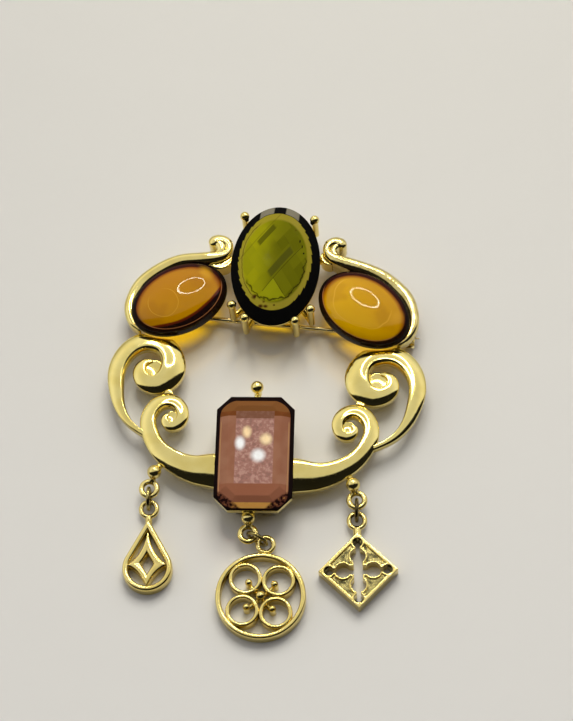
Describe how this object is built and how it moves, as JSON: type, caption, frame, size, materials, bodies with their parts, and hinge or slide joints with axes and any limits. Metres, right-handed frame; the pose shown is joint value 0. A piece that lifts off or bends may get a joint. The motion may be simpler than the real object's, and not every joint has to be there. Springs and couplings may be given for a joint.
{
  "type": "brooch",
  "caption": "Gold-toned openwork scroll brooch with amber, olive and rose glass stones, three charms on jump rings, a hinged pin and a turning safety catch.",
  "frame": {"origin": "centre of the whole outline seen from the front, on the plane that the back rests on", "axes": "+X to the right seen from the front, +Y to the top of the brooch, +Z out of the front"},
  "size_m": [0.0564, 0.0797, 0.01],
  "materials": {
    "gold_plate": "polished pale gold plating",
    "gold_steel": "plated steel wire",
    "amber_glass": "smooth honey-amber cabochon",
    "olive_glass": "faceted olive-green glass",
    "rose_glass": "step-cut dusty-rose glass"
  },
  "bodies": {
    "brooch": {"left_crescent": "gold_plate", "right_crescent": "gold_plate", "left_large_scroll": "gold_plate", "right_large_scroll": "gold_plate", "left_small_scroll": "gold_plate", "right_small_scroll": "gold_plate", "left_bridge": "gold_plate", "right_bridge": "gold_plate", "left_scroll_link": "gold_plate", "right_scroll_link": "gold_plate", "left_amber_setting": "gold_plate", "right_amber_setting": "gold_plate", "oval_setting": "gold_plate", "oval_prongs": "gold_plate", "octagon_setting": "gold_plate", "octagon_prong": "gold_plate", "left_amber_stone": "amber_glass", "right_amber_stone": "amber_glass", "oval_stone": "olive_glass", "octagon_stone": "rose_glass", "left_hanger": "gold_plate", "centre_hanger": "gold_plate", "right_hanger": "gold_plate", "pin_hinge_base": "gold_plate", "pin_hinge_rivet": "gold_steel", "catch_body": "gold_plate"},
    "pin": {"pin_stem": "gold_steel"},
    "catch_lock": {"catch_roller": "gold_plate"},
    "left_link": {"left_jump_ring": "gold_plate"},
    "teardrop": {"teardrop_charm": "gold_plate"},
    "centre_link": {"centre_jump_ring": "gold_plate"},
    "round": {"round_charm": "gold_plate"},
    "right_link": {"right_jump_ring": "gold_plate"},
    "diamond": {"diamond_charm": "gold_plate"}
  },
  "joints": [
    {"name": "pin_hinge", "type": "hinge", "parent": "brooch", "child": "pin", "pos_m": [-0.02258, 0.02032, 0.00135], "axis": [0.045, 0.999, 0], "range_deg": [0, 70]},
    {"name": "catch_turn", "type": "hinge", "parent": "brooch", "child": "catch_lock", "pos_m": [0.02457, 0.01819, 0.00135], "axis": [0.999, -0.045, 0], "range_deg": [0, 95]},
    {"name": "left_link_swing", "type": "hinge", "parent": "brooch", "child": "left_link", "pos_m": [-0.01856, -0.0154, 0.0022], "axis": [-0.9976, -0.0698, 0], "range_deg": [-75, 75]},
    {"name": "teardrop_turn", "type": "hinge", "parent": "left_link", "child": "teardrop", "pos_m": [-0.01841, -0.01749, 0.0013], "axis": [0, 0, 1], "range_deg": [-30, 30]},
    {"name": "centre_link_swing", "type": "hinge", "parent": "brooch", "child": "centre_link", "pos_m": [0.00053, -0.02181, 0.0022], "axis": [-0.4147, -0.91, 0], "range_deg": [-35, 35]},
    {"name": "round_turn", "type": "hinge", "parent": "centre_link", "child": "round", "pos_m": [0.00244, -0.02268, 0.0013], "axis": [0, 0, 1], "range_deg": [-12, 12]},
    {"name": "right_link_swing", "type": "hinge", "parent": "brooch", "child": "right_link", "pos_m": [0.01764, -0.01515, 0.0022], "axis": [-0.9976, -0.0698, 0], "range_deg": [-75, 75]},
    {"name": "diamond_turn", "type": "hinge", "parent": "right_link", "child": "diamond", "pos_m": [0.01779, -0.01724, 0.0013], "axis": [0, 0, 1], "range_deg": [-30, 30]}
  ]
}
